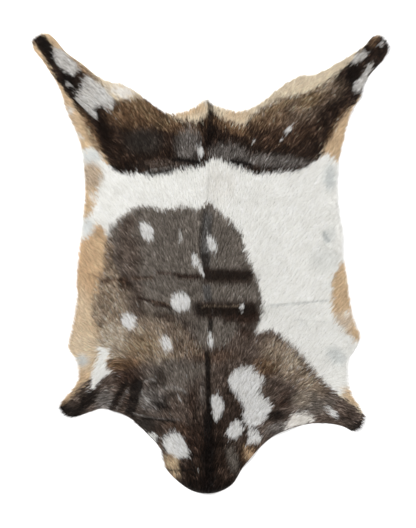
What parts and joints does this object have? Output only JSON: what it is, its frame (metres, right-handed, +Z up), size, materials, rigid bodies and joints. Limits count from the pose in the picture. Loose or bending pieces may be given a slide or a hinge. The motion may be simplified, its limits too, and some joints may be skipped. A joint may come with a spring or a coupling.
{
  "type": "goatskin",
  "caption": "Whole goatskin with the short hair left on, laid flat as a rug or throw, patched in dark brown, tan and white.",
  "frame": {"origin": "middle of the skin's length and width, on the floor that its flesh side rests on", "axes": "+Y along the back towards the rump and the hind legs, +X to the right seen with the hair side up, +Z up, out of the hair side"},
  "size_m": [0.716, 0.9212, 0.0154],
  "materials": {
    "goat_hair": "satin"
  },
  "bodies": {
    "root": {"goatskin": "goat_hair"}
  },
  "joints": []
}
